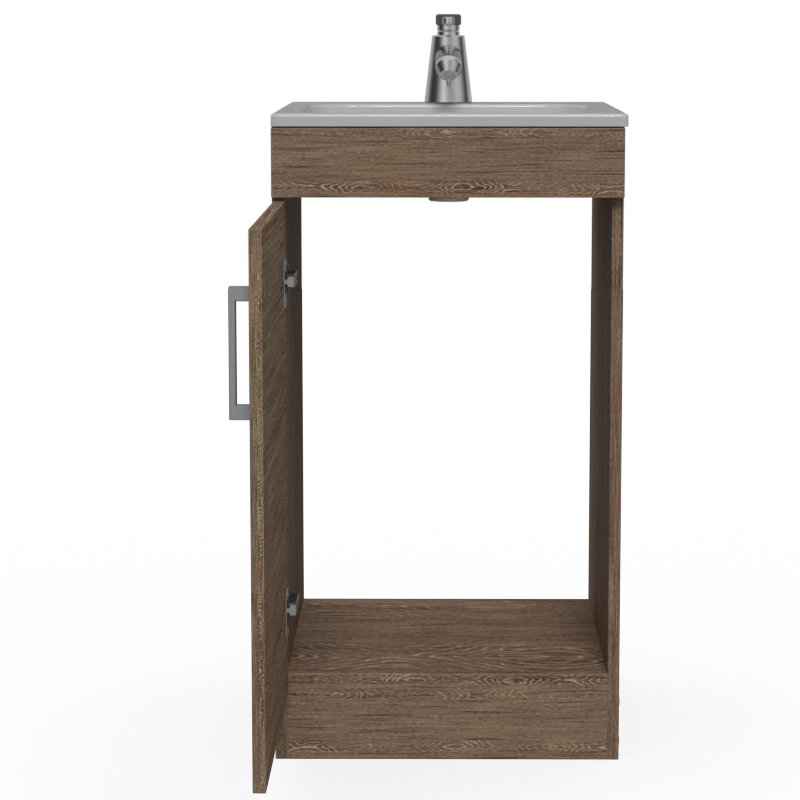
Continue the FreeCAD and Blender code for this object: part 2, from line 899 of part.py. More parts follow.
def tap_body():
    # A cone with a round spout whose domed end tapers down to the outlet.
    shoulder = tap_edge_round
    profile = [
        (0, tap_base),
        (tap_base_radius, tap_base),
        (tap_top_radius + shoulder / 2, tap_top - shoulder),
        (tap_top_radius - shoulder / 2, tap_top),
        (0, tap_top),
    ]
    cone = turned(profile, tap_axis, along_z)
    spout = rod(spout_radius, spout_root, spout_direction, spout_length)
    before_nozzle = rod(2 * spout_radius, spout_end, outlet_direction, 2 * spout_radius)
    dome = Part.makeSphere(spout_radius, spout_end).cut(before_nozzle)
    nozzle = Part.makeCone(spout_radius, outlet_radius, nozzle_length, spout_end, outlet_direction)
    body = cone.fuse([spout, dome, nozzle]).removeSplitter()
    pocket_depth = aerator_thickness + aerator_inset
    pocket = rod(aerator_radius + seat_gap, aerator_base, outlet_direction, pocket_depth)
    tail_socket = rod(tail_shank_radius + seat_gap, at_height(tap_axis, tap_base), along_z, tail_in_body)
    stem_socket = rod(
        collar_stem_radius + seat_gap,
        at_height(tap_axis, tap_top - collar_stem_length - seat_gap),
        along_z,
        collar_stem_length + seat_gap,
    )
    return body.cut([pocket, tail_socket, stem_socket])


def tap_aerator():
    inner = aerator_radius - aerator_rim
    profile = [
        (0, 0),
        (aerator_radius, 0),
        (aerator_radius, aerator_thickness),
        (inner, aerator_thickness),
        (inner, aerator_thickness - aerator_dish),
        (0, aerator_thickness - aerator_dish),
    ]
    return turned(profile, aerator_base, outlet_direction)


def tap_seal():
    profile = [
        (tap_hole_radius, basin_top),
        (tap_base_radius - tap_seal_inset, basin_top),
        (tap_base_radius - tap_seal_inset, tap_base),
        (tap_hole_radius, tap_base),
    ]
    return turned(profile, tap_axis, along_z)


def tap_tail():
    # A hollow shank through the basin; the hose screws onto its lower thread.
    end = nut_bottom - tail_thread_length
    chamfer = (tail_thread_radius - tail_bore_radius) / 4
    profile = [
        (tail_bore_radius, end),
        (tail_thread_radius - chamfer, end),
        (tail_thread_radius, end + chamfer),
        (tail_thread_radius, nut_bottom),
        (tail_shank_radius, nut_bottom),
        (tail_shank_radius, tap_base + tail_in_body),
        (tail_bore_radius, tap_base + tail_in_body),
    ]
    return turned(profile, tap_axis, along_z)


def tail_washer():
    inner = tail_shank_radius + seat_gap
    bottom = deck_underside - tail_washer_thickness
    profile = [
        (inner, bottom),
        (tail_washer_radius, bottom),
        (tail_washer_radius, deck_underside),
        (inner, deck_underside),
    ]
    return turned(profile, tap_axis, along_z)


def tail_nut():
    # A hexagon nut.
    corner = tail_nut_across_flats / math.sqrt(3)
    outline = []
    for step in range(6):
        angle = math.radians(60 * step)
        outline.append((tap_axis.x + corner * math.cos(angle), tap_axis.y + corner * math.sin(angle)))
    nut = prism(outline, nut_bottom, tail_nut_height)
    bore_start = at_height(tap_axis, nut_bottom)
    return nut.cut(rod(tail_shank_radius + seat_gap, bore_start, along_z, tail_nut_height))


def tap_collar():
    # The fixed ring of the neck, with a stem that screws into the body and guides the spindle.
    bore = spindle_radius + spindle_play
    bore_bottom = collar_top - spindle_in_collar
    profile = [
        (0, tap_top - collar_stem_length),
        (collar_stem_radius, tap_top - collar_stem_length),
        (collar_stem_radius, tap_top),
        (neck_radius, tap_top),
        (neck_radius, collar_top - skirt_chamfer / 2),
        (neck_radius - skirt_chamfer / 2, collar_top),
        (bore, collar_top),
        (bore, bore_bottom),
        (0, bore_bottom),
    ]
    return turned(profile, tap_axis, along_z)


def tap_spindle():
    bottom = collar_top - spindle_in_collar + seat_gap
    top = cap_bottom + spindle_in_cap
    return rod(spindle_radius, at_height(tap_axis, bottom), along_z, top - bottom)


def tap_skirt():
    # The turning ring of the neck, chamfered at its lower edge.
    bore = spindle_radius + seat_gap
    profile = [
        (bore, skirt_bottom),
        (neck_radius - skirt_chamfer, skirt_bottom),
        (neck_radius, skirt_bottom + skirt_chamfer),
        (neck_radius, cap_bottom),
        (bore, cap_bottom),
    ]
    return turned(profile, tap_axis, along_z)


def tenon(grow):
    # The root of the lever, let into a mortise in the cap.
    bottom = cap_bottom + lever_lift + tenon_margin - grow
    top = cap_bottom + lever_lift + lever_height - tenon_margin + grow
    front = tap_y - cap_radius - lever_edge_round
    back = tap_y - cap_radius + tenon_depth + grow
    return box(
        Vector(tap_axis.x - tenon_half_width - grow, front, bottom),
        Vector(tap_axis.x + tenon_half_width + grow, back, top),
    )


def cap_screw(grow=0.0):
    start = Vector(tap_axis.x, tap_y + spindle_radius + seat_gap, cap_bottom + spindle_in_cap / 2)
    return rod(cap_screw_radius + grow, start, along_y, cap_screw_length)


def tap_cap():
    cap = rod(cap_radius, at_height(tap_axis, cap_bottom), along_z, cap_height)
    top = [edge for edge in cap.Edges if edge.BoundBox.ZMin > cap_bottom + cap_height / 2]
    cap = cap.makeFillet(cap_top_round, top)
    bottom = [edge for edge in cap.Edges if edge.BoundBox.ZMax < cap_bottom + seat_gap]
    cap = cap.makeFillet(cap_bottom_round, bottom)
    socket = rod(
        spindle_radius + seat_gap, at_height(tap_axis, cap_bottom), along_z, spindle_in_cap + seat_gap
    )
    hole_start = Vector(tap_axis.x, tap_y, cap_bottom + spindle_in_cap / 2)
    screw_hole = rod(cap_screw_radius + seat_gap, hole_start, along_y, cap_radius)
    return cap.cut([socket, tenon(seat_gap), screw_hole])


def tap_lever():
    # A round-nosed tongue that points to the front, level with the foot of the cap.
    bottom = cap_bottom + lever_lift
    nose_y = tap_y - lever_reach + lever_half_width
    nose = rod(lever_half_width, Vector(tap_axis.x, nose_y, bottom), along_z, lever_height)
    bar = box(
        Vector(tap_axis.x - lever_half_width, nose_y, bottom),
        Vector(tap_axis.x + lever_half_width, tap_y, bottom + lever_height),
    )
    tongue = bar.fuse(nose).removeSplitter()
    rims = [
        edge for edge in tongue.Edges
        if edge.BoundBox.ZLength < seat_gap and edge.BoundBox.YMin < tap_y - seat_gap
    ]
    tongue = tongue.makeFillet(lever_edge_round, rims)
    cap_room = rod(cap_radius + seat_gap, at_height(tap_axis, bottom), along_z, lever_height)
    return tongue.cut(cap_room).fuse(tenon(0.0)).removeSplitter()


def hinge_nodes():
    nodes = {}
    pins = []
    rivets = []
    cup_screws = []
    plate_screws = []
    arm_screws = []
    for place, level in hinge_levels.items():
        nodes["hinge_cup_" + place] = hinge_cup(level)
        nodes["hinge_link_" + place] = hinge_link(level)
        nodes["hinge_arm_" + place] = hinge_arm(level)
        nodes["hinge_plate_" + place] = hinge_plate(level)
        pins.append(hinge_pin(level))
        rivets.append(hinge_rivet(level))
        cup_screws += hinge_screws(
            cup_screw_seats(level), cup_screw_radius, cup_screw_head_radius,
            cup_screw_head_height, cup_screw_length,
        )
        plate_screws += hinge_screws(
            plate_screw_seats(level), plate_screw_radius, plate_screw_head_radius,
            plate_screw_head_height, plate_screw_length,
        )
        arm_seat = Vector(-panel_inner + arm_stand, arm_screw_setback, level)
        arm_screws += hinge_screws(
            [arm_seat], arm_screw_radius, arm_screw_head_radius, arm_screw_head_height, arm_screw_length,
        )
    nodes["hinge_pins"] = Part.makeCompound(pins)
    nodes["hinge_rivets"] = Part.makeCompound(rivets)
    nodes["hinge_cup_screws"] = Part.makeCompound(cup_screws)
    nodes["hinge_plate_screws"] = Part.makeCompound(plate_screws)
    nodes["hinge_arm_screws"] = Part.makeCompound(arm_screws)
    return nodes


def all_nodes():
    nodes = {
        "left_side_panel": left_side_panel(),
        "right_side_panel": side_panel(1),
        "base_shelf": base_shelf(),
        "kick_board": kick_board(),
        "front_apron": front_apron(),
        "rear_rail": rear_rail(),
        "panel_screws": Part.makeCompound(panel_screws()),
        "screw_caps": Part.makeCompound(screw_caps()),
        "apron_dowels": Part.makeCompound(dowels()),
        "apron_corner_blocks": Part.makeCompound(corner_blocks()),
        "corner_block_screws": Part.makeCompound(block_screws()),
        "door_panel": door_panel(),
        "door_handle": door_handle(),
        "handle_screws": Part.makeCompound(handle_screws()),
        "basin": basin(),
        "waste_body": waste_body(),
        "waste_gasket": waste_gasket(),
        "waste_nut": waste_nut(),
        "tap_body": tap_body(),
        "tap_aerator": tap_aerator(),
        "tap_seal": tap_seal(),
        "tap_tail": tap_tail(),
        "tail_washer": tail_washer(),
        "tail_nut": tail_nut(),
        "tap_collar": tap_collar(),
        "tap_spindle": tap_spindle(),
        "tap_skirt": tap_skirt(),
        "tap_cap": tap_cap(),
        "tap_lever": tap_lever(),
        "cap_screw": cap_screw(),
    }
    nodes.update(hinge_nodes())
    return nodes


os.makedirs("parts", exist_ok=True)
for name, shape in all_nodes().items():
    shape.exportStep("parts/" + name + ".step")
    state = "valid" if shape.isValid() else "broken"
    print(name, len(shape.Solids), "solids", round(shape.Volume), "mm3", state)
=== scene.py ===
import math

import bmesh
import bpy
from mathutils import Matrix, Vector


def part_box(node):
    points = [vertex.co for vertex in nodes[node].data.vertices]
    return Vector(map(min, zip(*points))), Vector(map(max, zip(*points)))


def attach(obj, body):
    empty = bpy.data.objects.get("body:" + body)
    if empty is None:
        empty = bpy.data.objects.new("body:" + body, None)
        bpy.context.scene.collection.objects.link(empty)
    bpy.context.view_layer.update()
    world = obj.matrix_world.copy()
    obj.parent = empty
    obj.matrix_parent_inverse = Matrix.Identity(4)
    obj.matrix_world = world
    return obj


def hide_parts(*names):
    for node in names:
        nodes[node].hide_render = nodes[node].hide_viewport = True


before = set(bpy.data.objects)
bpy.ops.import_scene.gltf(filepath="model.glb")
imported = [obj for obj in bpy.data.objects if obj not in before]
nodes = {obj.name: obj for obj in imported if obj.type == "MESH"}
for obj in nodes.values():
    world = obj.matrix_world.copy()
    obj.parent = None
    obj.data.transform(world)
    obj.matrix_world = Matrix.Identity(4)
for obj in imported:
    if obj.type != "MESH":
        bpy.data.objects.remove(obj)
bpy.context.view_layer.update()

# Bathroom vanity cabinet in wood-grain laminate, with basin, tap, waste and an open door
print("frame loaded:", len(nodes), "CAD nodes")


def srgb(red, green, blue):
    # screen colour, 0 to 255, as the linear colour that shaders take
    def toLinear(level):
        share = level / 255
        return share / 12.92 if share <= 0.04045 else ((share + 0.055) / 1.055) ** 2.4
    return (toLinear(red), toLinear(green), toLinear(blue), 1.0)


# Node helpers

def put(tree, kind, inputs=None, **settings):
    node = tree.nodes.new(kind)
    for name, value in settings.items():
        setattr(node, name, value)
    for socket, value in (inputs or {}).items():
        if isinstance(value, bpy.types.NodeSocket):
            tree.links.new(value, node.inputs[socket])
        else:
            node.inputs[socket].default_value = value
    return node


def calc(tree, operation, first, second=0.0, third=0.0):
    return put(tree, "ShaderNodeMath", {0: first, 1: second, 2: third}, operation=operation).outputs[0]


def remap(tree, value, low, high, newLow=0.0, newHigh=1.0):
    given = {"Value": value, "From Min": low, "From Max": high, "To Min": newLow, "To Max": newHigh}
    return put(tree, "ShaderNodeMapRange", given, interpolation_type="SMOOTHSTEP").outputs["Result"]


def stretched(tree, vector, scale, offset=(0, 0, 0)):
    return put(tree, "ShaderNodeMapping", {"Vector": vector, "Scale": scale, "Location": offset}).outputs[0]


def noise(tree, vector, scale=1.0, detail=2.0, rough=0.5):
    given = {"Vector": vector, "Scale": scale, "Detail": detail, "Roughness": rough}
    return put(tree, "ShaderNodeTexNoise", given).outputs[0]


def blendColours(tree, share, first, second):
    mix = put(tree, "ShaderNodeMix", data_type="RGBA")
    for socket, value in (("Factor_Float", share), ("A_Color", first), ("B_Color", second)):
        spot = next(item for item in mix.inputs if item.identifier == socket)
        if isinstance(value, bpy.types.NodeSocket):
            tree.links.new(value, spot)
        else:
            spot.default_value = value
    return next(item for item in mix.outputs if item.identifier == "Result_Color")


def ramp(tree, share, stops):
    node = put(tree, "ShaderNodeValToRGB", {"Fac": share})
    elements = node.color_ramp.elements
    while len(elements) < len(stops):
        elements.new(0.5)
    for element, (place, colour) in zip(elements, stops):
        element.position = place
        element.color = colour
    return node.outputs["Color"]


def newGroup(name, inputs, outputs):
    group = bpy.data.node_groups.new(name, "ShaderNodeTree")
    for label, kind in inputs:
        group.interface.new_socket(label, in_out="INPUT", socket_type="NodeSocket" + kind)
    for label, kind in outputs:
        group.interface.new_socket(label, in_out="OUTPUT", socket_type="NodeSocket" + kind)
    return group, put(group, "NodeGroupInput").outputs, put(group, "NodeGroupOutput").inputs


def newMaterial(name, **constants):
    # a material with one Principled shader; constants go straight onto its sockets
    material = bpy.data.materials.new(name)
    material.use_nodes = True
    tree = material.node_tree
    shader = tree.nodes["Principled BSDF"]
    for label, value in constants.items():
        shader.inputs[label.replace("_", " ")].default_value = value
    place = put(tree, "ShaderNodeTexCoord").outputs["Object"]
    return material, tree, shader.inputs, place


bumpDistance = 0.0003    # metres


def addBump(tree, sockets, height, strength):
    given = {"Height": height, "Strength": strength, "Distance": bumpDistance}
    tree.links.new(put(tree, "ShaderNodeBump", given).outputs[0], sockets["Normal"])


# Wood-grain laminate

laminate = {
    "dark": srgb(58, 42, 31),
    "low": srgb(99, 79, 63),
    "mid": srgb(122, 101, 84),
    "pale": srgb(139, 118, 99),
    "light": srgb(176, 156, 132),
    "red": srgb(118, 78, 62),
    "blushShare": 0.28,        # how far reddish patches go towards red
    "wander": 0.009,           # metres by which the grain strays sideways
    "poreDepth": 0.12,         # how much darker pores and cracks are
    "crackDepth": 0.3,
    "bandPitch": 0.0712,       # metres between the strips of arched figure
    "bandFull": 0.003,         # half the width of a strip where its figure is at full strength
    "bandFade": 0.5,           # how much weaker every second strip is
    "eyePitch": 0.13,          # metres along the grain from one closed eye to the next
    "eyeStagger": 0.21,        # share of that by which each strip is shifted
    "arches": 2.6,             # lines between an eye and the end of its arches
    "archSlope": 215.0,        # lines per metre across the grain
    "archTip": 0.0016,         # metres over which an arch is rounded
    "curl": 2.4,               # lines by which the arches wander
    "drift": (9.0, 3.7),       # rate of a strip's own drift along the grain and from strip to strip
    "driftReach": 0.008,       # metres of that drift
    "driftLines": 4.0,         # and the lines that it shifts
    "lineSharpness": 6.0,
    "lineMiddle": 0.19,        # brightness of a line that leaves the board's tone as it is
    "lineShare": 0.74,
    "roughness": 0.62,
    # the paler edges are partly wear and partly a painted highlight where the rounded edges catch light
    "wearAndHighlightWidth": 0.0016,       # metres of paler edge
    "wearAndHighlightShare": 0.15,
    "bump": 0.2,
}
grainNoise = {
    # scale along and across the grain, where it starts, and detail of each noise
    "wander": ((5, 16, 1), (0, 0, 0), 2),
    "fibre": ((15, 640, 1), (0, 0, 0), 1),
    "fleck": ((170, 980, 1), (4, 9, 0), 1),
    "veins": ((7, 210, 1), (0, 0, 0), 2),
    "tone": ((2.2, 34, 1), (0, 0, 0), 2),
    "pores": ((50, 900, 1), (0, 0, 0), 0),
    "cracks": ((8, 330, 1), (5, 2, 4), 1),
    "blush": ((7, 60, 1), (1, 7, 3), 1),
    "curl": ((45, 130, 1), (6, 2, 1), 2),
    "patches": ((13, 26, 1), (3, 1, 2), 1),
}
veinRoughness = 0.6
grainShares = {"veins": 0.36, "fibre": 0.62, "fleck": 0.8, "tone": 0.3}    # how much each shades the board
figureInputs = {
    # a board's setting: the group's input that takes it
    "band": "Band Start",
    "eye": "Eye",
    "zoom": "Zoom",
    "reach": "Reach",
    "figure": "Figure",
    "contrast": "Contrast",
    "tone": "Tone",
}


def grainLayer(tree, vector, name, rough=0.5):
    scale, start, detail = grainNoise[name]
    return noise(tree, stretched(tree, vector, scale, start), detail=detail, rough=rough)


def buildLaminateGroup():
    # the grain runs along X of the vector that comes in, and Y lies across it
    group, given, result = newGroup(
        "laminateGrain",
        [("Grain", "Vector")] + [(label, "Float") for label in figureInputs.values()],
        [("Color", "Color"), ("Roughness", "Float"), ("Height", "Float")],
    )

    def centred(value):
        return calc(group, "SUBTRACT", value, 0.5)

    grain = given["Grain"]
    parts = put(group, "ShaderNodeSeparateXYZ", {0: grain}).outputs
    wander = centred(grainLayer(group, grain, "wander"))
    across = calc(group, "MULTIPLY_ADD", wander, laminate["wander"], parts["Y"])
    warped = put(group, "ShaderNodeCombineXYZ", {0: parts["X"], 1: across}).outputs[0]
    layers = {name: grainLayer(group, warped, name) for name in ("fibre", "fleck", "tone")}
    layers["veins"] = grainLayer(group, warped, "veins", veinRoughness)
    pores = remap(group, grainLayer(group, warped, "pores"), 0.62, 0.78)
    cracks = remap(group, grainLayer(group, warped, "cracks"), 0.62, 0.7)
    blush = remap(group, grainLayer(group, warped, "blush"), 0.58, 0.76)

    # arched figure: thin lines nested round eyes, kept to strips across the board
    figureX, figureY, plainY = (
        calc(group, "MULTIPLY", run, given["Zoom"]) for run in (parts["X"], across, parts["Y"])
    )
    pitch = laminate["bandPitch"]
    cell = calc(group, "DIVIDE", calc(group, "SUBTRACT", figureY, given["Band Start"]), pitch)
    band = calc(group, "ROUND", cell)
    alongRate, bandRate = laminate["drift"]
    drift = put(group, "ShaderNodeCombineXYZ", {
        0: calc(group, "MULTIPLY", figureX, alongRate),
        1: calc(group, "MULTIPLY", band, bandRate),
    }).outputs[0]
    drifting = centred(noise(group, drift, detail=1))
    offset = calc(group, "MULTIPLY", calc(group, "SUBTRACT", cell, band), pitch)
    offset = calc(group, "MULTIPLY_ADD", drifting, laminate["driftReach"], offset)
    crest = calc(group, "SQRT", calc(group, "MULTIPLY_ADD", offset, offset, laminate["archTip"] ** 2))
    run = calc(group, "SUBTRACT", figureX, given["Eye"])
    run = calc(group, "MULTIPLY_ADD", band, laminate["eyeStagger"] * laminate["eyePitch"], run)
    swell = calc(group, "COSINE", calc(group, "MULTIPLY", run, 2 * math.pi / laminate["eyePitch"]))
    lines = calc(group, "MULTIPLY", drifting, laminate["driftLines"])
    lines = calc(group, "MULTIPLY_ADD", swell, -laminate["arches"], lines)
    lines = calc(group, "MULTIPLY_ADD", crest, laminate["archSlope"], lines)
    figurePlace = put(group, "ShaderNodeCombineXYZ", {0: figureX, 1: plainY}).outputs[0]
    curl = centred(grainLayer(group, figurePlace, "curl"))
    lines = calc(group, "MULTIPLY_ADD", curl, laminate["curl"], lines)
    wave = calc(group, "SINE", calc(group, "MULTIPLY", lines, 2 * math.pi))
    wave = calc(group, "MULTIPLY_ADD", wave, 0.5, 0.5)
    line = calc(group, "POWER", wave, laminate["lineSharpness"])
    strip = remap(group, calc(group, "ABSOLUTE", offset), given["Reach"], laminate["bandFull"])
    patches = remap(group, grainLayer(group, grain, "patches"), 0.38, 0.62, 0.3)
    second = calc(group, "FLOORED_MODULO", band, 2.0)
    faded = calc(group, "MULTIPLY_ADD", second, -laminate["bandFade"], 1.0)
    strip = calc(group, "MULTIPLY", calc(group, "MULTIPLY", strip, patches), faded)
    strip = calc(group, "MULTIPLY", strip, given["Figure"])

    value = 0.5
    for name, share in grainShares.items():
        value = calc(group, "MULTIPLY_ADD", centred(layers[name]), share, value)
    middle = calc(group, "ADD", given["Tone"], 0.5)
    value = calc(group, "MULTIPLY_ADD", centred(value), given["Contrast"], middle)
    bright = calc(group, "SUBTRACT", line, laminate["lineMiddle"])
    strength = calc(group, "MULTIPLY", strip, laminate["lineShare"])
    value = calc(group, "MULTIPLY_ADD", bright, strength, value)
    value = calc(group, "MULTIPLY_ADD", pores, -laminate["poreDepth"], value)
    value = calc(group, "MULTIPLY_ADD", cracks, -laminate["crackDepth"], value)
    colour = ramp(group, value, [
        (0.02, laminate["dark"]), (0.32, laminate["low"]), (0.5, laminate["mid"]),
        (0.68, laminate["pale"]), (1.0, laminate["light"]),
    ])
    reddish = calc(group, "MULTIPLY", blush, laminate["blushShare"])
    group.links.new(blendColours(group, reddish, colour, laminate["red"]), result["Color"])
    rough = calc(group, "MULTIPLY_ADD", layers["veins"], -0.14, laminate["roughness"] + 0.07)
    group.links.new(calc(group, "MULTIPLY_ADD", pores, 0.1, rough), result["Roughness"])
    group.links.new(calc(group, "MULTIPLY_ADD", pores, -0.8, value), result["Height"])
    return group


def buildEdgeGroup():
    # 1 along the edges of a box and 0 further in, for edges painted paler: partly wear, partly a painted
    # highlight where the edges catch light
    group, given, result = newGroup(
        "boardEdges",
        [("Place", "Vector"), ("Centre", "Vector"), ("Half Size", "Vector"), ("Width", "Float")],
        [("Mask", "Float")],
    )
    away = put(group, "ShaderNodeVectorMath", {0: given["Place"], 1: given["Centre"]}, operation="SUBTRACT")
    size = put(group, "ShaderNodeVectorMath", {0: away.outputs[0]}, operation="ABSOLUTE")
    limits = {0: size.outputs[0], 1: given["Half Size"]}
    past = put(group, "ShaderNodeVectorMath", limits, operation="SUBTRACT")
    x, y, z = put(group, "ShaderNodeSeparateXYZ", {0: past.outputs[0]}).outputs
    larger = calc(group, "MINIMUM", calc(group, "MAXIMUM", x, y), z)
    nearest = calc(group, "MAXIMUM", calc(group, "MINIMUM", x, y), larger)
    depth = calc(group, "DIVIDE", calc(group, "MULTIPLY", nearest, -1.0), given["Width"])
    group.links.new(remap(group, depth, 1.0, 0.2), result["Mask"])
    return group


levelGrain = {"along": (1, 0, 0), "across": (0, 1, 1)}
uprightGrain = {"along": (0, 0, 1), "across": (1, 1, 0)}
strips = {"zoom": 1.0, "reach": 0.0105}    # scale of the figure, and half the width of its strips
boards = {
    # node: directions of the grain, where the pattern starts, a figured strip and an eye in it,
    # the strength of figure and grain, and the tone
    "front_apron": {
        **levelGrain, **strips, "start": (0, 0), "band": 0.745, "eye": -0.110,
        "figure": 1.1, "contrast": 1.0, "tone": 0.035,
    },
    "kick_board": {
        **levelGrain, **strips, "start": (0, 0), "band": 0.0167, "eye": -0.122,
        "figure": 1.2, "contrast": 1.0, "tone": 0.04,
    },
    "base_shelf": {
        "along": (0.8, 0, 0), "across": (0, 0.6, 0.6), "start": (1.7, 0), "band": 0.050, "eye": 0.725,
        "zoom": 0.4, "reach": 0.03, "figure": 0.8, "contrast": 1.3, "tone": -0.06,
        # closer figure on its front and back edges
        "edge": {**levelGrain, **strips, "band": 0.109, "eye": 1.66, "figure": 1.0, "tone": -0.02},
    },
    "rear_rail": {
        **levelGrain, **strips, "start": (2.6, 0), "band": 0.02, "eye": 2.5,
        "figure": 0.8, "contrast": 1.0, "tone": 0.0,
    },
    # the side panels' lower tone is partly their own and partly painted shade for their faces inside the
    # cabinet
    "left_side_panel": {
        **uprightGrain, **strips, "start": (0.9, 1.3), "band": 0.0, "eye": 0.3,
        "figure": 0.9, "contrast": 1.2, "tone": -0.07,
    },
    "right_side_panel": {
        **uprightGrain, **strips, "start": (3.4, 2.2), "band": 0.03, "eye": 0.5,
        "figure": 0.9, "contrast": 1.2, "tone": -0.07,
    },
    "door_panel": {
        "along": (0, 0.5, 0), "across": (1, 0, 1), **strips, "start": (5.2, 0.6),
        "band": 0.1714, "eye": 0.538, "figure": 1.6, "contrast": 1.8, "tone": -0.02,
        # upright figure on its narrow edges
        "edge": {"along": (0, 0, 2), "across": (2, 0, 0), "figure": 1.1, "tone": 0.03},
    },
}


def edgeWearAndHighlight(tree, place, node, width, colour, paleEdge, share):
    # a colour with the edges of the node's box blended towards another, partly as wear and partly as a
    # painted highlight where the edges catch light
    low, high = (Vector(corner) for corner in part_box(node))
    edges = put(tree, "ShaderNodeGroup", node_tree=edgeGroup)
    tree.links.new(place, edges.inputs["Place"])
    edges.inputs["Centre"].default_value = (low + high) / 2
    edges.inputs["Half Size"].default_value = (high - low) / 2
    edges.inputs["Width"].default_value = width
    return blendColours(tree, calc(tree, "MULTIPLY", edges.outputs["Mask"], share), colour, paleEdge)


def grainAlong(tree, place, directions, start):
    grain = put(tree, "ShaderNodeCombineXYZ")
    for spot, (direction, shift) in enumerate(zip(directions, start)):
        run = put(tree, "ShaderNodeVectorMath", {0: place, 1: direction}, operation="DOT_PRODUCT")
        tree.links.new(calc(tree, "ADD", run.outputs["Value"], shift), grain.inputs[spot])
    return grain.outputs[0]


def laminateBoard(name, node, along, across, start, edge=None, **settings):
    material, tree, sockets, place = newMaterial(name, Specular_IOR_Level=0.02)
    grain = grainAlong(tree, place, (along, across), start)
    look = put(tree, "ShaderNodeGroup", node_tree=laminateGroup)
    for setting, value in settings.items():
        look.inputs[figureInputs[setting]].default_value = value
    if edge:
        # faces that look to the front or the back take the edges' own grain
        normal = put(tree, "ShaderNodeTexCoord").outputs["Normal"]
        facing = put(tree, "ShaderNodeSeparateXYZ", {0: normal}).outputs["Y"]
        narrow = calc(tree, "GREATER_THAN", calc(tree, "ABSOLUTE", facing), 0.7)
        ownGrain = grainAlong(tree, place, (edge["along"], edge["across"]), start)
        grain = blendColours(tree, narrow, grain, ownGrain)
        for setting in [label for label in settings if label in edge]:
            wide = settings[setting]
            own = calc(tree, "MULTIPLY_ADD", narrow, edge[setting] - wide, wide)
            tree.links.new(own, look.inputs[figureInputs[setting]])
    tree.links.new(grain, look.inputs["Grain"])
    plain = look.outputs["Color"]
    # edges painted paler: partly wear, partly a painted highlight
    wearAndHighlight = edgeWearAndHighlight(
        tree, place, node, laminate["wearAndHighlightWidth"], plain, laminate["light"], laminate["wearAndHighlightShare"],
    )
    tree.links.new(wearAndHighlight, sockets["Base Color"])
    tree.links.new(look.outputs["Roughness"], sockets["Roughness"])
    addBump(tree, sockets, look.outputs["Height"], laminate["bump"])
    return material


def dress(nodeName, material):
    mesh = nodes[nodeName].data
    mesh.materials.clear()
    mesh.materials.append(material)


laminateGroup = buildLaminateGroup()
edgeGroup = buildEdgeGroup()
for nodeName, look in boards.items():
    dress(nodeName, laminateBoard("laminate_" + nodeName, nodeName, **look))
print("boards dressed:", len(boards))


# Mottle shared by glaze, plastic, rubber and metal

def buildMottleGroup():
    group, given, result = newGroup(
        "surfaceMottle",
        [("Place", "Vector"), ("Scale", "Float"), ("Base", "Color"), ("Second", "Color"),
         ("Roughness", "Float"), ("Roughness Swing", "Float")],
        [("Color", "Color"), ("Roughness", "Float"), ("Height", "Float")],
    )
    cloud = noise(group, given["Place"], given["Scale"], detail=3)
    grit = noise(group, given["Place"], calc(group, "MULTIPLY", given["Scale"], 6.0), detail=1)
    share = remap(group, cloud, 0.3, 0.7)
    group.links.new(blendColours(group, share, given["Base"], given["Second"]), result["Color"])
    swing = calc(group, "MULTIPLY", calc(group, "SUBTRACT", grit, 0.5), given["Roughness Swing"])
    group.links.new(calc(group, "ADD", given["Roughness"], swing), result["Roughness"])
    group.links.new(calc(group, "MULTIPLY_ADD", grit, 0.5, cloud), result["Height"])
    return group


mottleGroup = buildMottleGroup()


def mottled(name, base, second, scale, roughness, swing, bump, stretch=(1, 1, 1), edges=None, **constants):
    material, tree, sockets, place = newMaterial(name, **constants)
    look = put(tree, "ShaderNodeGroup", node_tree=mottleGroup)
    tree.links.new(stretched(tree, place, stretch), look.inputs["Place"])
    for label, value in (("Scale", scale), ("Base", base), ("Second", second),
                         ("Roughness", roughness), ("Roughness Swing", swing)):
        look.inputs[label].default_value = value
    colour = look.outputs["Color"]
    if edges:
        colour = edgeWearAndHighlight(tree, place, edges["node"], edges["width"], colour, edges["colour"], 1.0)
    tree.links.new(colour, sockets["Base Color"])
    tree.links.new(look.outputs["Roughness"], sockets["Roughness"])
    addBump(tree, sockets, look.outputs["Height"], bump)
    return material


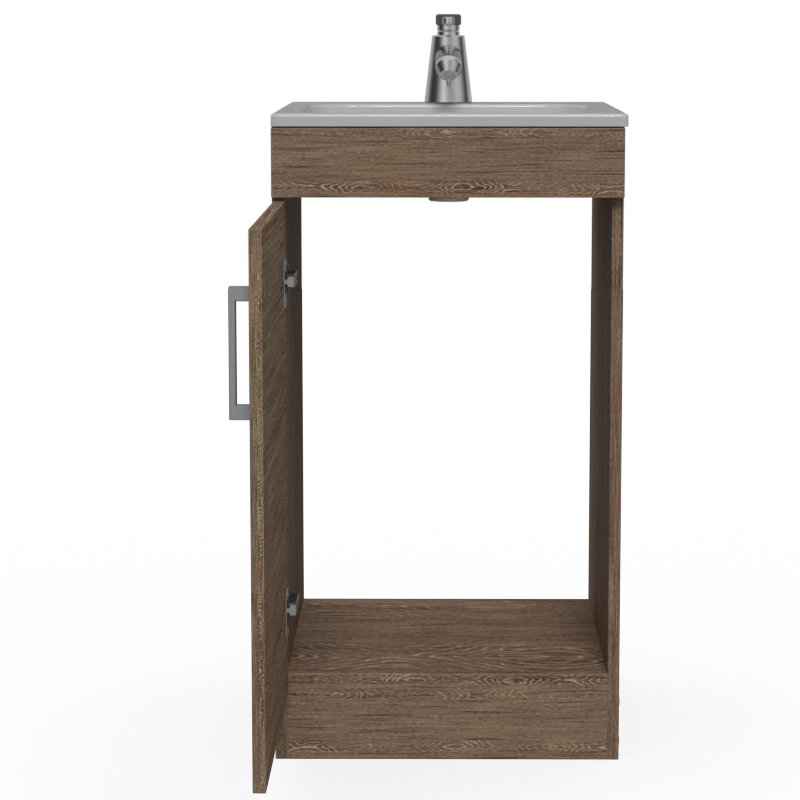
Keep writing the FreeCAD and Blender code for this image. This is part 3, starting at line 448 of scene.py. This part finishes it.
# base and second colour, scale of the mottle, roughness and its swing, and bump
finishes = {
    "basin": mottled(
        "basinGlaze", srgb(174, 174, 175), srgb(178, 178, 178), 9, 0.2, 0.05, 0.03, Specular_IOR_Level=0.3,
    ),
    "chrome": mottled(
        "tapChrome", srgb(200, 200, 201), srgb(208, 208, 209), 60, 0.16, 0.06, 0.02,
        stretch=(1, 1, 0.4), Metallic=1.0,
    ),
    "tapCap": mottled(
        "tapCapGrey", srgb(70, 70, 70), srgb(78, 78, 78), 80, 0.42, 0.12, 0.06, Specular_IOR_Level=0.3,
    ),
    "handle": mottled(
        "handleSatin", srgb(164, 165, 166), srgb(170, 171, 172), 60, 0.36, 0.1, 0.04,
        stretch=(8, 8, 0.2), Metallic=0.6,
    ),
    "hinge": mottled(
        "hingeNickel", srgb(222, 222, 219), srgb(228, 228, 225), 70, 0.4, 0.12, 0.03, Metallic=0.8,
    ),
    "hingePlate": mottled(
        "hingePlateSteel", srgb(74, 73, 71), srgb(84, 83, 80), 70, 0.42, 0.12, 0.03, Metallic=0.6,
    ),
    "hingeScrew": mottled(
        "hingeScrewSteel", srgb(96, 96, 95), srgb(108, 108, 106), 120, 0.34, 0.14, 0.05, Metallic=0.9,
    ),
    "fastener": mottled(
        "screwZinc", srgb(176, 178, 180), srgb(190, 191, 190), 120, 0.3, 0.14, 0.05, Metallic=1.0,
    ),
    "waste": mottled(
        "wasteChrome", srgb(190, 190, 191), srgb(198, 198, 199), 50, 0.16, 0.08, 0.02, Metallic=1.0,
    ),
    # a white plastic nut, set near white so that it reads lighter in the shade under the basin, which is
    # partly painted light
    "wasteNut": mottled("wasteNutGrey", srgb(246, 243, 238), srgb(250, 247, 242), 70, 0.45, 0.1, 0.05),
    "rubber": mottled("sealRubber", srgb(30, 30, 30), srgb(40, 40, 39), 90, 0.8, 0.1, 0.2),
    # a grey gasket at the tap's foot, whose grey also stands in for painted shade where the tap meets the
    # deck
    "baseSeal": mottled("baseSealGrey", srgb(132, 132, 132), srgb(140, 140, 140), 90, 0.6, 0.1, 0.1),
    "brass": mottled(
        "tapBrass", srgb(196, 160, 92), srgb(206, 172, 106), 90, 0.3, 0.12, 0.04, Metallic=1.0,
    ),
    # white plastic, set near white so that it reads lighter in the shade under the spout, which is partly
    # painted light
    "aerator": mottled("aeratorGrey", srgb(226, 226, 226), srgb(234, 234, 234), 90, 0.35, 0.1, 0.05),
    "block": mottled("blockPlastic", srgb(205, 204, 200), srgb(212, 211, 207), 90, 0.5, 0.12, 0.12),
    "screwCap": mottled("screwCapBrown", srgb(108, 88, 72), srgb(118, 98, 82), 160, 0.5, 0.1, 0.08),
    "dowel": mottled(
        "dowelBeech", srgb(198, 164, 120), srgb(184, 146, 100), 60, 0.6, 0.1, 0.15, stretch=(8, 0.5, 8),
    ),
}
finishNodes = {
    "basin": ["basin"],
    "chrome": ["tap_body", "tap_collar", "tap_skirt", "tap_lever", "tap_spindle"],
    "tapCap": ["tap_cap"],
    "handle": ["door_handle"],
    "hinge": ["hinge_link_upper", "hinge_link_lower", "hinge_pins"],
    "hingePlate": ["hinge_plate_upper", "hinge_plate_lower", "hinge_rivets"],
    "fastener": [
        "panel_screws", "corner_block_screws", "handle_screws", "hinge_cup_screws", "hinge_plate_screws",
        "hinge_arm_screws", "cap_screw",
    ],
    "waste": ["waste_body"],
    "wasteNut": ["waste_nut"],
    "rubber": ["waste_gasket", "tail_washer"],
    "baseSeal": ["tap_seal"],
    "brass": ["tap_tail", "tail_nut"],
    "aerator": ["tap_aerator"],
    "block": ["apron_corner_blocks"],
    "screwCap": ["screw_caps"],
    "dowel": ["apron_dowels"],
}
for finish, members in finishNodes.items():
    for nodeName in members:
        dress(nodeName, finishes[finish])
print("other nodes dressed:", sum(len(members) for members in finishNodes.values()))

# pressed hinge sheets: dark faces, darkest on the arm, where the dark is painted shade, and a painted
# highlight along their cut edges
pressed = {
    # the arm's dark base stands in for the shade inside the cabinet; the bright colours are painted
    # highlights on the cut edges
    "hinge_cup": {"base": srgb(84, 83, 81), "second": srgb(94, 93, 90), "bright": srgb(226, 226, 223)},
    "hinge_arm": {"base": srgb(58, 57, 55), "second": srgb(68, 67, 65), "bright": srgb(150, 149, 146)},
}
for sheet, tint in pressed.items():
    for height in ("upper", "lower"):
        nodeName = sheet + "_" + height
        # the cut edges get a painted highlight in the bright colour
        paleEdge = {"node": nodeName, "width": 0.0018, "colour": tint["bright"]}
        dress(nodeName, mottled(
            nodeName + "Nickel", tint["base"], tint["second"], 70, 0.3, 0.12, 0.03,
            edges=paleEdge, Metallic=0.9,
        ))
print("hinge sheets dressed")


# Cross-recess screws in place of the plain CAD ones

def newPiece(name, shape, material, body, slot, *replaced):
    mesh = bpy.data.meshes.new(name)
    bmesh.ops.recalc_face_normals(shape, faces=shape.faces[:])
    shape.to_mesh(mesh)
    shape.free()
    mesh.materials.append(material)
    piece = bpy.data.objects.new(name, mesh)
    bpy.context.scene.collection.objects.link(piece)
    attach(piece, body)
    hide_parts(*replaced)


screws = {
    # CAD node: the body it rides on, its finish, its shank's radius and its head's height in metres,
    # and whether its head is countersunk
    "hinge_cup_screws": {
        "body": "door", "finish": "fastener", "shank": 0.0017, "head": 0.0012, "sunk": False,
    },
    "hinge_plate_screws": {
        "body": "cabinet", "finish": "hingeScrew", "shank": 0.0024, "head": 0.0016, "sunk": False,
    },
    "hinge_arm_screws": {
        "body": "cabinet", "finish": "hingeScrew", "shank": 0.0020, "head": 0.0012, "sunk": False,
    },
    "corner_block_screws": {
        "body": "cabinet", "finish": "fastener", "shank": 0.0018, "head": 0.0018, "sunk": False,
    },
    "handle_screws": {
        "body": "door", "finish": "hingeScrew", "shank": 0.0020, "head": 0.0022, "sunk": True,
    },
}
recess = {"reach": 0.6, "arm": 0.15, "depth": 0.7, "taper": 0.7}    # shares of the head's radius and height
screwForm = {"segments": 24, "round": 0.55, "tip": 0.15, "turnStep": 0.7}    # turnStep in radians


def separateSolids(nodeName):
    # the points of each separate solid in a CAD node
    shape = bmesh.new()
    shape.from_mesh(nodes[nodeName].data)
    bmesh.ops.remove_doubles(shape, verts=shape.verts[:], dist=1e-6)
    solids = []
    seen = set()
    for first in shape.verts[:]:
        if first in seen:
            continue
        seen.add(first)
        members = [first]
        for vert in members:
            fresh = [edge.other_vert(vert) for edge in vert.link_edges if edge.other_vert(vert) not in seen]
            seen.update(fresh)
            members.extend(dict.fromkeys(fresh))
        solids.append([vert.co.copy() for vert in members])
    shape.free()
    return solids


def screwPlace(points):
    # the middle of the head's top, the way it faces, its radius and the screw's length
    low = Vector([min(point[axis] for point in points) for axis in range(3)])
    high = Vector([max(point[axis] for point in points) for axis in range(3)])
    size = high - low
    along = max(range(3), key=lambda axis: size[axis])
    middle = (low + high) / 2
    outward = Vector([1 if axis == along else 0 for axis in range(3)])

    def spread(end):
        near = [point - middle for point in points if abs(point[along] - end[along]) < size[along] / 4]
        return max(away.cross(outward).length for away in near)

    if spread(low) > spread(high):
        outward.negate()
    top = middle + outward * size[along] / 2
    return top, outward, max(spread(high), spread(low)), size[along]


def extrudeEnd(shape, face, fall, share):
    # carry an end face on, down by a fall and narrowed to a share of its width
    grown = bmesh.ops.extrude_face_region(shape, geom=[face])["geom"]
    verts = [item for item in grown if isinstance(item, bmesh.types.BMVert)]
    bmesh.ops.translate(shape, vec=(0, 0, -fall), verts=verts)
    bmesh.ops.scale(shape, vec=(share, share, 1), verts=verts)
    return next(item for item in grown if isinstance(item, bmesh.types.BMFace))


def crossScrew(radius, length, shank, head, sunk):
    # a screw with its head's top at the origin and its tip below
    shape = bmesh.new()
    bmesh.ops.create_circle(shape, cap_ends=True, segments=screwForm["segments"], radius=radius)
    top = shape.faces[:][0]
    end = extrudeEnd(shape, top, head, shank / radius if sunk else 1.0)
    if not sunk:
        end = extrudeEnd(shape, end, 0.0, shank / radius)
    end = extrudeEnd(shape, end, length - head - 2 * shank, 1.0)
    extrudeEnd(shape, end, 2 * shank, screwForm["tip"])
    if not sunk:
        bmesh.ops.bevel(
            shape, geom=top.edges[:], offset=head * screwForm["round"], segments=3, profile=0.5,
            affect="EDGES", material=-1,
        )
    top = max(shape.faces, key=lambda face: face.calc_center_median().z)
    cut = [top, *top.edges, *top.verts]
    arm = recess["arm"] * radius
    reach = recess["reach"] * radius
    for direction in (Vector((1, 0, 0)), Vector((0, 1, 0))):
        for place in (-reach, -arm, arm, reach):
            cut = bmesh.ops.bisect_plane(
                shape, geom=cut, dist=1e-7, plane_co=direction * place, plane_no=direction
            )["geom"]

    def inCross(face):
        x, y, _ = (abs(part) for part in face.calc_center_median())
        return (x < arm and y < reach) or (y < arm and x < reach)

    cross = [item for item in cut if isinstance(item, bmesh.types.BMFace) and inCross(item)]
    sunken = bmesh.ops.extrude_face_region(shape, geom=cross)["geom"]
    verts = [item for item in sunken if isinstance(item, bmesh.types.BMVert)]
    bmesh.ops.translate(shape, vec=(0, 0, -head * recess["depth"]), verts=verts)
    bmesh.ops.scale(shape, vec=(recess["taper"], recess["taper"], 1), verts=verts)
    mesh = bpy.data.meshes.new("screw")
    shape.to_mesh(mesh)
    shape.free()
    return mesh


for nodeName, kind in screws.items():
    places = [screwPlace(points) for points in separateSolids(nodeName)]
    radius, length = places[0][2:]
    single = crossScrew(radius, length, kind["shank"], kind["head"], kind["sunk"])
    shape = bmesh.new()
    for turn, (top, outward, _, _) in enumerate(places):
        count = len(shape.verts)
        shape.from_mesh(single)
        facing = Vector((0, 0, 1)).rotation_difference(outward).to_matrix().to_4x4()
        place = Matrix.Translation(top) @ facing @ Matrix.Rotation(screwForm["turnStep"] * turn, 4, "Z")
        bmesh.ops.transform(shape, matrix=place, verts=shape.verts[:][count:])
    finish = finishes[kind["finish"]]
    newPiece(nodeName + "_cross", shape, finish, kind["body"], "fastener_steel", nodeName)
    bpy.data.meshes.remove(single)
print("cross-recess screws made:", len(screws))


# Tap tail with its thread

tail = {
    "bore": 0.0060,
    "shank": 0.0110,
    "core": 0.0093,
    "crest": 0.01048,
    "chamfer": 0.0011,
    "threadLength": 0.042,
    "pitch": 0.001814,
    "rootSink": 0.0002,       # how deep the thread's root is sunk into the core
    "rootHalf": 0.46,         # half the width of its root and of its crest, in pitches
    "crestHalf": 0.07,
    "stepsPerTurn": 24,
}


def makeTail():
    low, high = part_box("tap_tail")
    centre = Vector(((low[0] + high[0]) / 2, (low[1] + high[1]) / 2, 0))
    bottom = low[2]
    shoulder = bottom + tail["threadLength"]
    shape = bmesh.new()
    profile = [
        (tail["bore"], bottom), (tail["core"] - tail["chamfer"], bottom),
        (tail["core"], bottom + tail["chamfer"]), (tail["core"], shoulder),
        (tail["shank"], shoulder), (tail["shank"], high[2]), (tail["bore"], high[2]),
    ]
    ring = [shape.verts.new(centre + Vector((radius, 0, z))) for radius, z in profile]
    edges = [shape.edges.new(pair) for pair in zip(ring, ring[1:] + ring[:1])]
    bmesh.ops.spin(
        shape, geom=ring + edges, cent=centre, axis=(0, 0, 1), angle=2 * math.pi, steps=48, use_merge=True,
    )
    bmesh.ops.remove_doubles(shape, verts=shape.verts[:], dist=1e-7)

    # the thread is one small section wound up the core
    pitch = tail["pitch"]
    start = bottom + tail["chamfer"] + pitch / 2
    root = tail["core"] - tail["rootSink"]
    section = [
        (root, -tail["rootHalf"]), (tail["crest"], -tail["crestHalf"]),
        (tail["crest"], tail["crestHalf"]), (root, tail["rootHalf"]),
    ]
    corners = [
        shape.verts.new(centre + Vector((radius, 0, start + pitch * part))) for radius, part in section
    ]
    tooth = shape.faces.new(corners)
    turns = int((shoulder - start) / pitch - 0.5)
    bmesh.ops.spin(
        shape, geom=[tooth], cent=centre, axis=(0, 0, 1), dvec=(0, 0, pitch / tail["stepsPerTurn"]),
        angle=2 * math.pi * turns, steps=turns * tail["stepsPerTurn"],
    )
    newPiece("tapTailThread", shape, finishes["brass"], "cabinet", "tap_brass", "tap_tail")


makeTail()
print("tap tail made")


# Aerator: a ring with a woven screen in the spout's outlet

aerator = {
    "dip": 53.0,              # degrees by which the outlet faces down
    "radius": 0.0112,
    "inner": 0.0094,
    "thickness": 0.0050,
    "round": 0.0005,
    "screenDepth": 0.0009,
    "wells": 0.0026,          # how deep the cup behind the screen is
    "wire": 0.00035,
    "wiresAcross": 14,
}


def makeAerator():
    # modelled facing up, then turned to the outlet
    shape = bmesh.new()
    half = aerator["thickness"] / 2
    profile = [
        (0, -half), (aerator["radius"], -half), (aerator["radius"], half - aerator["round"]),
        (aerator["radius"] - aerator["round"], half), (aerator["inner"] + aerator["round"], half),
        (aerator["inner"], half - aerator["round"]), (aerator["inner"], half - aerator["wells"]),
        (0, half - aerator["wells"]),
    ]
    ring = [shape.verts.new((radius, 0, z)) for radius, z in profile]
    edges = [shape.edges.new(pair) for pair in zip(ring, ring[1:])]
    bmesh.ops.spin(shape, geom=ring + edges, axis=(0, 0, 1), angle=2 * math.pi, steps=48, use_merge=True)
    bmesh.ops.remove_doubles(shape, verts=shape.verts[:], dist=1e-7)
    bmesh.ops.recalc_face_normals(shape, faces=shape.faces[:])

    screen = bmesh.new()
    lines = aerator["wiresAcross"]
    bmesh.ops.create_grid(screen, x_segments=lines, y_segments=lines, size=aerator["inner"])
    reach = aerator["inner"] * (1 + 1 / lines)
    outside = [face for face in screen.faces if face.calc_center_median().length > reach]
    bmesh.ops.delete(screen, geom=outside, context="FACES")
    bmesh.ops.wireframe(
        screen, faces=screen.faces[:], thickness=aerator["wire"], use_boundary=True, use_even_offset=True,
        use_replace=True,
    )
    bmesh.ops.translate(screen, vec=(0, 0, half - aerator["screenDepth"]), verts=screen.verts[:])
    woven = bpy.data.meshes.new("screen")
    screen.to_mesh(woven)
    screen.free()
    shape.from_mesh(woven)
    bpy.data.meshes.remove(woven)

    low, high = (Vector(corner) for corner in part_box("tap_aerator"))
    dip = math.radians(aerator["dip"])
    facing = Vector((0, -math.cos(dip), -math.sin(dip)))
    turn = Vector((0, 0, 1)).rotation_difference(facing).to_matrix().to_4x4()
    place = Matrix.Translation((low + high) / 2) @ turn
    bmesh.ops.transform(shape, matrix=place, verts=shape.verts[:])
    newPiece(
        "aeratorScreen", shape, finishes["aerator"], "cabinet", "aerator_plastic", "tap_aerator",
    )


makeAerator()
print("aerator made")


# Studio: white floor and surroundings, soft lamps, and a ring of greys that only gloss sees

studio = {
    "floorSize": 12.0,
    "floorGrey": srgb(105, 105, 105),
    "ambient": 0.34,
    # degrees up, to the side and wide
    "key": {"slope": 46.0, "turn": 5.0, "spread": 20.0, "strength": 2.3},
    "floorKey": {"slope": 90.0, "turn": 0.0, "spread": 60.0, "strength": 6.0},
    "fill": {"place": (3.3, -1.3, 1.5), "aim": (0, -0.2, 0.45), "size": 1.6, "power": 14},
    "rear": {"place": (-1.6, 3.2, 1.9), "aim": (0, 0.3, 0.5), "size": 2.0, "power": 30},
    "side": {"place": (-3.4, 0.9, 1.3), "aim": (-0.2, 0.2, 0.45), "size": 1.6, "power": 45},
    "ring": [
        # degrees round the object, 0 at the front and 90 at the right, and the grey there
        (-180, 0.2), (-166, 0.22), (-152, 0.62), (-126, 0.5), (-108, 0.18), (-95, 0.05), (-68, 0.07),
        (-56, 0.2), (-45, 0.45), (-35, 0.7), (-24, 0.92), (-15, 0.78), (-5, 0.6), (6, 0.48), (18, 0.48),
        (40, 0.65), (58, 0.63), (72, 0.47), (82, 0.3), (93, 0.12), (104, 0.07), (117, 0.32), (128, 0.5),
        (152, 0.62), (166, 0.22), (180, 0.2),
    ],
    "sky": 0.75,              # grey overhead
    "skyFrom": (0.6, 0.88),   # upward slope of a ray where the ring turns to sky
}


def newStage(name, shape):
    mesh = bpy.data.meshes.new(name)
    shape.to_mesh(mesh)
    shape.free()
    piece = bpy.data.objects.new(name, mesh)
    bpy.context.scene.collection.objects.link(piece)
    return piece


def addFloor():
    shape = bmesh.new()
    bmesh.ops.create_grid(shape, x_segments=1, y_segments=1, size=studio["floorSize"] / 2)
    floor = newStage("studioFloor", shape)
    look = {"Base_Color": studio["floorGrey"], "Roughness": 0.9, "Specular_IOR_Level": 0.0}
    floor.data.materials.append(newMaterial("floorPale", **look)[0])
    floor.is_shadow_catcher = True    # the white world shows, with the shadow on it
    return floor


def linked(name, state, *members):
    # a collection that tells a lamp which objects to light or to spare
    links = bpy.data.collections.new(name)
    for spot, member in enumerate(members):
        links.objects.link(member)
        links.collection_objects[spot].light_linking.link_state = state
    return links


def aimed(place, aim):
    direction = Vector(aim) - Vector(place)
    return Matrix.Translation(place) @ direction.to_track_quat("-Z", "Y").to_matrix().to_4x4()


def addLamp(name, place, aim, size, power):
    lamp = bpy.data.lights.new(name, "AREA")
    lamp.shape = "SQUARE"
    lamp.size = size
    lamp.energy = power
    holder = bpy.data.objects.new(name, lamp)
    holder.matrix_world = aimed(place, aim)
    holder.visible_glossy = False
    bpy.context.scene.collection.objects.link(holder)
    return holder


def addSun(name, slope, turn, spread, strength, inGloss=False):
    # a soft lamp so far off that it lights the top and the foot alike
    lamp = bpy.data.lights.new(name, "SUN")
    lamp.angle = math.radians(spread)
    lamp.energy = strength
    holder = bpy.data.objects.new(name, lamp)
    holder.rotation_euler = (math.radians(90 - slope), 0, math.radians(turn))
    holder.visible_glossy = inGloss
    bpy.context.scene.collection.objects.link(holder)
    return holder


def buildWorld():
    world = bpy.data.worlds.new("studioWorld")
    bpy.context.scene.world = world
    world.use_nodes = True
    tree = world.node_tree
    tree.nodes.clear()
    rays = put(tree, "ShaderNodeLightPath").outputs
    direction = put(tree, "ShaderNodeTexCoord").outputs["Generated"]
    x, y, z = put(tree, "ShaderNodeSeparateXYZ", {0: direction}).outputs
    turn = calc(tree, "ARCTAN2", x, calc(tree, "MULTIPLY", y, -1.0))
    share = calc(tree, "MULTIPLY_ADD", turn, 0.5 / math.pi, 0.5)
    stops = [(degrees / 360 + 0.5, (grey, grey, grey, 1)) for degrees, grey in studio["ring"]]
    ring = ramp(tree, share, stops)
    overhead = (studio["sky"], studio["sky"], studio["sky"], 1)
    around = blendColours(tree, remap(tree, z, *studio["skyFrom"]), ring, overhead)
    colour = blendColours(tree, rays["Is Glossy Ray"], (1, 1, 1, 1), around)
    shown = calc(tree, "MAXIMUM", rays["Is Camera Ray"], rays["Is Glossy Ray"])
    shown = calc(tree, "MAXIMUM", shown, rays["Is Transmission Ray"])
    dim = put(tree, "ShaderNodeBackground", {"Color": (1, 1, 1, 1), "Strength": studio["ambient"]})
    bright = put(tree, "ShaderNodeBackground", {"Color": colour, "Strength": 1.0})
    mix = put(tree, "ShaderNodeMixShader", {0: shown, 1: dim.outputs[0], 2: bright.outputs[0]})
    put(tree, "ShaderNodeOutputWorld", {"Surface": mix.outputs[0]})


floor = addFloor()
glazed = nodes["basin"]
keyLamp = addSun("keyLamp", **studio["key"])
keyLamp.light_linking.receiver_collection = linked("notFloorOrGlaze", "EXCLUDE", floor, glazed)
# the same key once more for the basin, where its shine shows
glazeLamp = addSun("glazeLamp", **studio["key"], inGloss=True)
glazeLamp.light_linking.receiver_collection = linked("glazeOnly", "INCLUDE", glazed)
notFloor = linked("notFloor", "EXCLUDE", floor)
for name in ("fill", "rear", "side"):
    addLamp(name + "Lamp", **studio[name]).light_linking.receiver_collection = notFloor
floorOnly = linked("floorOnly", "INCLUDE", floor)
# the object doesn't shade this lamp, so its shadow on the floor stays faint
floorLamp = addSun("floorLamp", **studio["floorKey"])
floorLamp.light_linking.receiver_collection = floorOnly
floorLamp.light_linking.blocker_collection = floorOnly
buildWorld()
print("studio ready")


# Camera at the photograph's view

view = {
    "place": (-0.01246, -3.35682, 0.97906),
    "turnLeft": 0.4529,       # degrees
    "tiltDown": 7.3043,       # degrees
    "lens": 116.976,          # millimetres on a sensor 36 mm wide
    "shift": (-0.02197, -0.06324),
}
lens = bpy.data.cameras.new("photoCamera")
lens.sensor_fit = "HORIZONTAL"
lens.sensor_width = 36.0
lens.lens = view["lens"]
lens.shift_x, lens.shift_y = view["shift"]
lens.dof.use_dof = False
camera = bpy.data.objects.new("photoCamera", lens)
camera.location = view["place"]
camera.rotation_euler = (math.radians(90 - view["tiltDown"]), 0, math.radians(view["turnLeft"]))
bpy.context.scene.collection.objects.link(camera)
bpy.context.scene.camera = camera
bpy.context.scene.view_settings.view_transform = "Standard"

print("scene ready")
